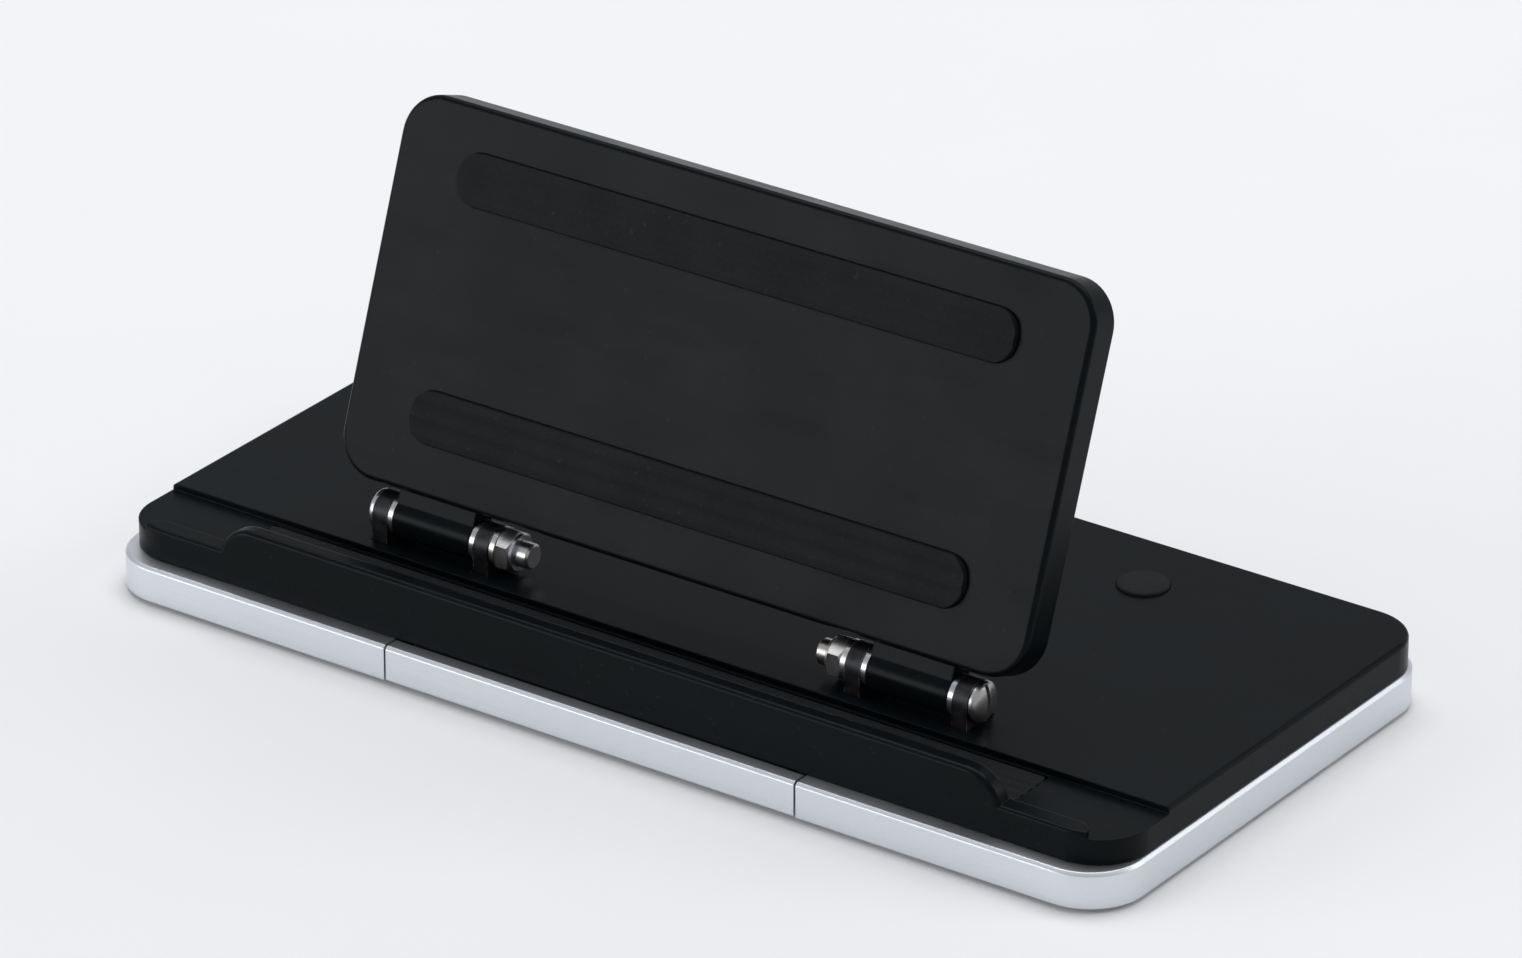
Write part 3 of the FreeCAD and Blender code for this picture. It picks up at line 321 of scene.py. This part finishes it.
def mesh_piece(name, built, place=None):
    """Make an object from a bmesh drawn in millimetres, put in place, with its shallow edges smooth."""
    mesh = bpy.data.meshes.new(name)
    built.normal_update()
    built.to_mesh(mesh)
    built.free()
    mesh.transform(Matrix.Scale(MM, 4))
    if place is not None:
        mesh.transform(place)
    piece = bpy.data.objects.new(name, mesh)
    bpy.context.scene.collection.objects.link(piece)
    for face in mesh.polygons:
        face.use_smooth = True
    mesh.set_sharp_from_angle(angle=SMOOTH_ANGLE)
    return piece


def lathe(outline, steps=64):
    """Turn an outline of (radius, height) points about Z; points on the axis close the ends."""
    built = bmesh.new()
    rings = []
    for radius, height in outline:
        if radius < ON_AXIS:
            rings.append([built.verts.new((0, 0, height))])
            continue
        ring = []
        for step in range(steps):
            angle = math.tau * step / steps
            x_place, y_place = radius * math.cos(angle), radius * math.sin(angle)
            ring.append(built.verts.new((x_place, y_place, height)))
        rings.append(ring)
    for low, high in zip(rings, rings[1:]):
        for step in range(steps):
            following = (step + 1) % steps
            corners = [low[step % len(low)], low[following % len(low)]]
            corners += [high[following % len(high)], high[step % len(high)]]
            corners = list(dict.fromkeys(corners))
            if len(corners) > 2:
                built.faces.new(corners)
    bmesh.ops.recalc_face_normals(built, faces=built.faces)
    return built


def prism(points, low, high):
    """Extrude a closed outline of (x, y) points from one height to another."""
    built = bmesh.new()
    bottom = [built.verts.new((x, y, low)) for x, y in points]
    top = [built.verts.new((x, y, high)) for x, y in points]
    count = len(points)
    for index in range(count):
        following = (index + 1) % count
        built.faces.new((bottom[index], bottom[following], top[following], top[index]))
    built.faces.new(list(reversed(bottom)))
    built.faces.new(top)
    bmesh.ops.recalc_face_normals(built, faces=built.faces)
    return built


def carve(solid, tools, operation="DIFFERENCE"):
    """Cut tools from a solid, or keep what is in both; all are drawn in millimetres."""
    objects = []
    for built in [solid, *tools]:
        mesh = bpy.data.meshes.new("carving")
        built.to_mesh(mesh)
        built.free()
        thing = bpy.data.objects.new("carving", mesh)
        bpy.context.scene.collection.objects.link(thing)
        objects.append(thing)
    target = objects[0]
    for tool in objects[1:]:
        modifier = target.modifiers.new("cut", "BOOLEAN")
        modifier.operation = operation
        modifier.solver = "EXACT"
        modifier.object = tool
    evaluated = target.evaluated_get(bpy.context.evaluated_depsgraph_get())
    result = bmesh.new()
    result.from_mesh(evaluated.to_mesh())
    evaluated.to_mesh_clear()
    for thing in objects:
        bpy.data.objects.remove(thing)
    return result


def join(pieces, name):
    """Join several bmeshes, each with its own placement in millimetres, into one."""
    joined = bmesh.new()
    for built, place in pieces:
        built.transform(place)
        mesh = bpy.data.meshes.new(name)
        built.to_mesh(mesh)
        built.free()
        joined.from_mesh(mesh)
        bpy.data.meshes.remove(mesh)
    return joined


def finish_piece(piece, material, slot, body, *nodes):
    """Give a piece its material, put it on its body and let it stand for its CAD nodes."""
    piece.data.materials.append(MATERIALS[material])
    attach(piece, body)
    if nodes:
        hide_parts(*nodes)


def local_box(node, place=None):
    """Corners of a CAD node in millimetres, in the frame given by a placement."""
    undo = Matrix.Identity(4) if place is None else place.inverted()
    corners = [undo @ vertex.co / MM for vertex in frame["nodes"][node].data.vertices]
    low = Vector([min(corner[axis] for corner in corners) for axis in range(3)])
    high = Vector([max(corner[axis] for corner in corners) for axis in range(3)])
    return low, high


def islands(node):
    """Boxes of a CAD node's separate solids, in millimetres, as (low, high) pairs."""
    built = bmesh.new()
    built.from_mesh(frame["nodes"][node].data)
    bmesh.ops.remove_doubles(built, verts=built.verts, dist=1e-7)
    left = set(built.verts)
    boxes = []
    while left:
        stack = [left.pop()]
        found = list(stack)
        while stack:
            for edge in stack.pop().link_edges:
                for vertex in edge.verts:
                    if vertex in left:
                        left.remove(vertex)
                        stack.append(vertex)
                        found.append(vertex)
        low = Vector([min(vertex.co[axis] for vertex in found) for axis in range(3)]) / MM
        high = Vector([max(vertex.co[axis] for vertex in found) for axis in range(3)]) / MM
        boxes.append((low, high))
    built.free()
    return boxes


# ---------------------------------------------------------------- rubber pieces

def rounded_bar(size, height_at, radius, steps_across=48, steps_round=10, steps_along=24):
    """A strip centred on the origin, resting on z = 0, with rounded plan corners and a shaped top.

    size is (length, width); height_at(across) gives the top's height for across from -1 to 1.
    """
    length, width = size
    built = bmesh.new()
    stations = []
    for step in range(steps_round + 1):
        angle = QUARTER_TURN * step / steps_round
        stations.append((-length / 2 + radius * (1 - math.cos(angle)), radius * (1 - math.sin(angle))))
    straight = length - 2 * radius
    for step in range(1, steps_along):
        stations.append((-length / 2 + radius + straight * step / steps_along, 0.0))
    for step in range(steps_round, -1, -1):
        angle = QUARTER_TURN * step / steps_round
        stations.append((length / 2 - radius * (1 - math.cos(angle)), radius * (1 - math.sin(angle))))
    rows = []
    for x_place, inset in stations:
        half = width / 2 - inset
        top = []
        for step in range(steps_across + 1):
            across = -1 + 2 * step / steps_across
            y_place = across * half
            top.append(built.verts.new((x_place, y_place, height_at(2 * y_place / width))))
        bottom = [built.verts.new((x_place, sign * half, 0.0)) for sign in (1, -1)]
        rows.append(top + bottom)
    for first, second in zip(rows, rows[1:]):
        count = len(first)
        for index in range(count):
            following = (index + 1) % count
            built.faces.new((first[index], second[index], second[following], first[following]))
    built.faces.new(rows[0])
    built.faces.new(list(reversed(rows[-1])))
    bmesh.ops.recalc_face_normals(built, faces=built.faces)
    return built


def ribbed(height, depth, ribs, shoulder=0.06, shoulder_drop=1.6):
    """A top with round ribs across it and rounded shoulders."""
    def height_at(across):
        wave = 0.5 - 0.5 * math.cos(math.pi * ribs * (across + 1))
        edge = max(0.0, abs(across) - (1 - shoulder)) / shoulder
        return height - depth * (1 - wave) - shoulder_drop * depth * edge * edge
    return height_at


def add_channel_pad():
    """Ribbed strip that the device stands on."""
    low, high = local_box("channel_pad")
    size = high - low
    strip = rounded_bar((size.x, size.y), ribbed(size.z, depth=0.18, ribs=5), radius=1.2)
    place = Matrix.Translation(Vector(((low.x + high.x) / 2, (low.y + high.y) / 2, low.z)) * MM)
    piece = mesh_piece("channel_pad_ribbed", strip, place)
    finish_piece(piece, "rubber", "rubber", "base", "channel_pad")


def add_backrest_pad(node):
    """Ribbed strip with round ends on the front of the backrest."""
    low, high = local_box(node, BACKREST)
    size = high - low
    strip = rounded_bar((size.x, size.z), ribbed(size.y, depth=0.16, ribs=3), radius=size.z * 0.45)
    upright = Matrix.Rotation(math.radians(90), 4, "X")
    middle = Vector(((low.x + high.x) / 2, high.y, (low.z + high.z) / 2)) * MM
    piece = mesh_piece(f"{node}_ribbed", strip, BACKREST @ Matrix.Translation(middle) @ upright)
    finish_piece(piece, "rubber", "rubber", "backrest", node)


def add_foot(node):
    """Rubber foot with a rounded rim, a ring groove and a shallow cup."""
    low, high = local_box(node)
    radius = (high.x - low.x) / 2
    height = high.z - low.z
    # from the middle out: shares of the radius, and heights above the table
    cup = [(0, 0.16), (0.34, 0.15), (0.42, 0.06), (0.50, 0.0)]
    groove = [(0.60, 0.0), (0.64, 0.10), (0.69, 0.14), (0.74, 0.10), (0.78, 0.0)]
    rim = [(0.90, 0.0), (0.955, 0.04), (0.99, 0.12), (1, 0.24)]
    outline = [(radius * share, rise) for share, rise in cup + groove + rim]
    outline += [(radius, height), (0, height)]
    place = Matrix.Translation(Vector(((low.x + high.x) / 2, (low.y + high.y) / 2, low.z)) * MM)
    piece = mesh_piece(f"{node}_moulded", lathe(outline), place)
    finish_piece(piece, "rubber", "rubber", "base", node)


def add_deck_bumpers():
    """Two domed bumpers on the deck."""
    shoulder, rise, steps = 0.34, 0.30, 8
    domes = []
    for low, high in islands("deck_bumpers"):
        radius = (high.x - low.x) / 2
        height = high.z - low.z
        outline = [(0, 0), (radius, 0), (radius, height - shoulder)]
        for step in range(1, steps + 1):
            angle = QUARTER_TURN * step / steps
            inward = shoulder * (1 - math.cos(angle))
            outline.append((radius - inward, height - shoulder + rise * math.sin(angle)))
        outline += [(radius * 0.5, height - 0.01), (0, height)]
        middle = Vector(((low.x + high.x) / 2, (low.y + high.y) / 2, low.z))
        domes.append((lathe(outline, 48), Matrix.Translation(middle)))
    piece = mesh_piece("deck_bumpers_domed", join(domes, "bumpers"))
    finish_piece(piece, "rubber", "rubber", "base", "deck_bumpers")


# ---------------------------------------------------------------- fasteners

def cross_recess(reach, width, low, high):
    """Two crossed bars, narrower at the bottom, that cut a screw's recess."""
    bottom_reach, bottom_width = 0.45, 0.7   # shares of the top's
    half = width / 2
    bars = []
    for turn in (0.0, QUARTER_TURN):
        built = bmesh.new()
        corners = []
        ends = ((low, reach * bottom_reach, half * bottom_width), (high, reach, half))
        for z_place, x_half, y_half in ends:
            ring = [(-x_half, -y_half), (x_half, -y_half), (x_half, y_half), (-x_half, y_half)]
            corners.append([built.verts.new((x, y, z_place)) for x, y in ring])
        bottom, top = corners
        for index in range(4):
            following = (index + 1) % 4
            built.faces.new((bottom[index], bottom[following], top[following], top[index]))
        built.faces.new(list(reversed(bottom)))
        built.faces.new(top)
        built.transform(Matrix.Rotation(turn, 4, "Z"))
        bmesh.ops.recalc_face_normals(built, faces=built.faces)
        bars.append(built)
    return bars


def screw(radius, head_height, shank_radius, shank_length, dome=0.0):
    """A cross-recess screw along Z: its head's face is at z = 0 and its shank runs down from the head."""
    tip = -head_height - shank_length
    point, rim, steps = 0.3, 0.12, 6
    under_in, under_up = 0.05, 0.08
    outline = [(0, tip), (shank_radius * 0.7, tip)]
    outline += [(shank_radius, tip + point), (shank_radius, -head_height)]
    outline += [(radius - under_in, -head_height), (radius, -head_height + under_up), (radius, -rim - dome)]
    for step in range(1, steps + 1):
        angle = QUARTER_TURN * step / steps
        outline.append((radius - rim * (1 - math.cos(angle)), -rim - dome + rim * math.sin(angle)))
    if dome:
        outline += [(radius * 0.7, -dome * 0.45), (radius * 0.35, -dome * 0.1)]
    outline.append((0, 0))
    solid = lathe(outline, 48)
    recess = cross_recess(reach=radius * 0.62, width=radius * 0.26, low=-head_height * 0.75, high=0.3)
    return carve(solid, recess)


def add_case_screws():
    """Screws in the bottom cover, heads down."""
    head, shank_radius, dome = 0.9, 1.0, 0.15
    screws = []
    for low, high in islands("case_screws"):
        radius = (high.x - low.x) / 2
        turned = Matrix.Rotation(math.pi, 4, "X") @ Matrix.Rotation(low.x + low.y, 4, "Z")
        middle = Matrix.Translation(Vector(((low.x + high.x) / 2, (low.y + high.y) / 2, low.z)))
        built = screw(radius, head, shank_radius, high.z - low.z - head, dome)
        screws.append((built, middle @ turned))
    piece = mesh_piece("case_screws_cross", join(screws, "case_screws"))
    finish_piece(piece, "dark_steel", "dark_steel", "base", "case_screws")


def add_backrest_screws():
    """Countersunk screws flush with the backrest's metal cover."""
    low, high = local_box("backrest_screws", BACKREST)
    radius, head, shank_radius, sunk = 1.9, 1.0, 1.0, 0.02
    screws = []
    for x_place in (low.x + radius, high.x - radius):
        for z_place in (low.z + radius, high.z - radius):
            built = screw(radius, head, shank_radius, high.y - low.y - head)
            turned = Matrix.Rotation(x_place + z_place, 4, "Z")
            outward = Matrix.Rotation(math.radians(-90), 4, "X") @ turned
            middle = Matrix.Translation((x_place, high.y - sunk, z_place))
            screws.append((built, middle @ outward))
    piece = mesh_piece("backrest_screws_cross", join(screws, "backrest_screws"), BACKREST)
    finish_piece(piece, "dark_steel", "dark_steel", "backrest", "backrest_screws")


def add_hinge_pin(node, side):
    """Hinge pin with a domed, slotted head outside and a chamfered tail inside."""
    low, high = local_box(node)
    radius, chamfer = 1.5, 0.25
    head, rim, dome, steps = 1.2, 0.35, 0.85, 8
    under_in, under_up = 0.06, 0.08
    slot_reach, slot_half, slot_depth = 3, 0.28, 0.55
    head_radius = (high.y - low.y) / 2
    length = high.x - low.x
    outline = [(0, 0), (radius - chamfer, 0), (radius, chamfer), (radius, length - head)]
    outline += [(head_radius - under_in, length - head), (head_radius, length - head + under_up)]
    for step in range(steps + 1):
        angle = QUARTER_TURN * step / steps
        across = head_radius * math.cos(angle * 0.96)   # leaves a small flat in the middle
        outline.append((across, length - head + rim + dome * math.sin(angle)))
    outline.append((0, length))
    corners = [(-slot_reach, -slot_half), (slot_reach, -slot_half)]
    corners += [(slot_reach, slot_half), (-slot_reach, slot_half)]
    slot = prism(corners, length - slot_depth, length + OVERSHOOT)
    built = carve(lathe(outline, 64), [slot])
    start = low.x if side > 0 else high.x
    along = Matrix.Rotation(math.radians(90 * side), 4, "Y")
    middle = Vector((start, (low.y + high.y) / 2, (low.z + high.z) / 2)) * MM
    piece = mesh_piece(f"{node}_turned", built, Matrix.Translation(middle) @ along)
    finish_piece(piece, "steel", "steel", "base", node)


def add_hinge_nuts():
    """Chamfered hexagon nuts with a round crown where the locking ring sits."""
    bore_radius = 1.52
    nuts = []
    for low, high in islands("hinge_nuts"):
        length = high.x - low.x
        outer = (high.z - low.z) / 2
        hexagon = []
        for corner in range(6):
            angle = math.radians(60 * corner)
            hexagon.append((outer * math.cos(angle), outer * math.sin(angle)))
        blank = prism(hexagon, 0, length)
        rounding = lathe([
            (0, -0.01), (outer * 0.86, -0.01), (outer * 1.02, 0.32), (outer * 1.02, length - 0.55),
            (outer * 0.84, length - 0.32), (outer * 0.80, length + 0.01), (0, length + 0.01),
        ], 72)
        bore = lathe([
            (0, -OVERSHOOT), (bore_radius, -OVERSHOOT),
            (bore_radius, length + OVERSHOOT), (0, length + OVERSHOOT),
        ], 48)
        blank = carve(blank, [rounding], "INTERSECT")
        blank = carve(blank, [bore])
        inward = -1 if low.x > 0 else 1
        start = high.x if low.x > 0 else low.x
        along = Matrix.Rotation(math.radians(90 * inward), 4, "Y")
        middle = Matrix.Translation((start, (low.y + high.y) / 2, (low.z + high.z) / 2))
        nuts.append((blank, middle @ along))
    piece = mesh_piece("hinge_nuts_chamfered", join(nuts, "hinge_nuts"))
    finish_piece(piece, "steel", "steel", "base", "hinge_nuts")


# ---------------------------------------------------------------- tray mat

def add_tray_mat():
    """Mat in the tray with a raised diamond grid."""
    low, high = local_box("tray_liner")
    size = high - low
    columns, rows = 190, 150
    relief, pitch, steepness = 0.09, 3.2, 4.0
    built = bmesh.new()
    grid = []
    for row in range(rows + 1):
        line = []
        for column in range(columns + 1):
            x_place = low.x + size.x * column / columns
            y_place = low.y + size.y * row / rows
            first = abs(math.sin(math.pi * (x_place + y_place) / pitch))
            second = abs(math.sin(math.pi * (x_place - y_place) / pitch))
            ridge = max(0.0, 1 - steepness * min(first, second))
            line.append(built.verts.new((x_place, y_place, high.z - relief * (1 - ridge))))
        grid.append(line)
    for near, far in zip(grid, grid[1:]):
        for column in range(columns):
            built.faces.new((near[column], near[column + 1], far[column + 1], far[column]))
    rim = [edge for edge in built.edges if edge.is_boundary]
    skirt = bmesh.ops.extrude_edge_only(built, edges=rim)["geom"]
    for item in skirt:
        if isinstance(item, bmesh.types.BMVert):
            item.co.z = low.z
    bmesh.ops.holes_fill(built, edges=[edge for edge in built.edges if edge.is_boundary])
    bmesh.ops.recalc_face_normals(built, faces=built.faces)
    piece = mesh_piece("tray_mat_diamond", built)
    finish_piece(piece, "tray_mat", "tray_mat", "tray", "tray_liner")


# ---------------------------------------------------------------- CAD nodes that stay

def dress_nodes():
    """Give every CAD node its material."""
    slots = {part["node"]: part["material_slot"] for part in frame["record"]["subparts"]}
    for node, thing in frame["nodes"].items():
        material = "plate_metal" if node == "backrest_cover" else slots[node]
        thing.data.materials.clear()
        thing.data.materials.append(MATERIALS[material])


# ---------------------------------------------------------------- stage

def add_floor():
    """A plain pale floor."""
    mesh = bpy.data.meshes.new("floor")
    built = bmesh.new()
    bmesh.ops.create_grid(built, x_segments=1, y_segments=1, size=6.0)
    built.to_mesh(mesh)
    built.free()
    floor = bpy.data.objects.new("floor", mesh)
    bpy.context.scene.collection.objects.link(floor)
    shader = Shader("floor")
    paper = shader.noise(30.0, 4.0)
    shader.link("Base Color", shader.mix(paper, (0.84, 0.845, 0.85), (0.87, 0.872, 0.875)))
    shader.set(Roughness=0.75, Specular_IOR_Level=0.2)
    mesh.materials.append(shader.material)


def add_light(name, place, target, size, power):
    """One soft box aimed at a point."""
    data = bpy.data.lights.new(name, "AREA")
    data.shape = "RECTANGLE"
    data.size, data.size_y = size
    data.energy = power
    light = bpy.data.objects.new(name, data)
    light.location = place
    light.rotation_euler = (Vector(target) - Vector(place)).to_track_quat("-Z", "Y").to_euler()
    bpy.context.scene.collection.objects.link(light)


def add_lights():
    """Soft studio light: a large overhead box, one from the left front and a rim from behind."""
    add_light("overhead", (-0.15, 0.35, 1.3), (0, 0, 0), (1.4, 0.9), 11.0)
    add_light("left_front", (-0.95, -1.15, 0.34), (0, 0, 0.02), (1.1, 0.5), 7.0)
    add_light("right_rim", (1.0, 0.9, 0.7), (0, 0, 0.02), (0.5, 0.7), 3.0)
    world = bpy.data.worlds.new("studio")
    world.use_nodes = True
    background = world.node_tree.nodes["Background"]
    background.inputs["Color"].default_value = (0.93, 0.95, 1.0, 1.0)
    background.inputs["Strength"].default_value = 0.48
    bpy.context.scene.world = world
    bpy.context.scene.view_settings.view_transform = "Standard"


def add_camera():
    """Camera at the photo camera's place, turned to the stand and drawn in on it."""
    data = bpy.data.cameras.new("camera")
    data.lens = CAMERA_LENS
    data.clip_start = 0.01
    camera = bpy.data.objects.new("camera", data)
    camera.location = CAMERA_PLACE
    camera.rotation_euler = (CAMERA_TARGET - CAMERA_PLACE).to_track_quat("-Z", "Y").to_euler()
    bpy.context.scene.collection.objects.link(camera)
    bpy.context.scene.camera = camera


dress_nodes()
add_channel_pad()
for rest_pad in ("backrest_pad_lower", "backrest_pad_upper"):
    add_backrest_pad(rest_pad)
for foot in ("foot_front_left", "foot_front_right", "foot_rear_left", "foot_rear_right"):
    add_foot(foot)
add_deck_bumpers()
add_case_screws()
add_backrest_screws()
add_hinge_pin("hinge_pin_left", -1)
add_hinge_pin("hinge_pin_right", 1)
add_hinge_nuts()
add_tray_mat()
add_floor()
add_lights()
add_camera()
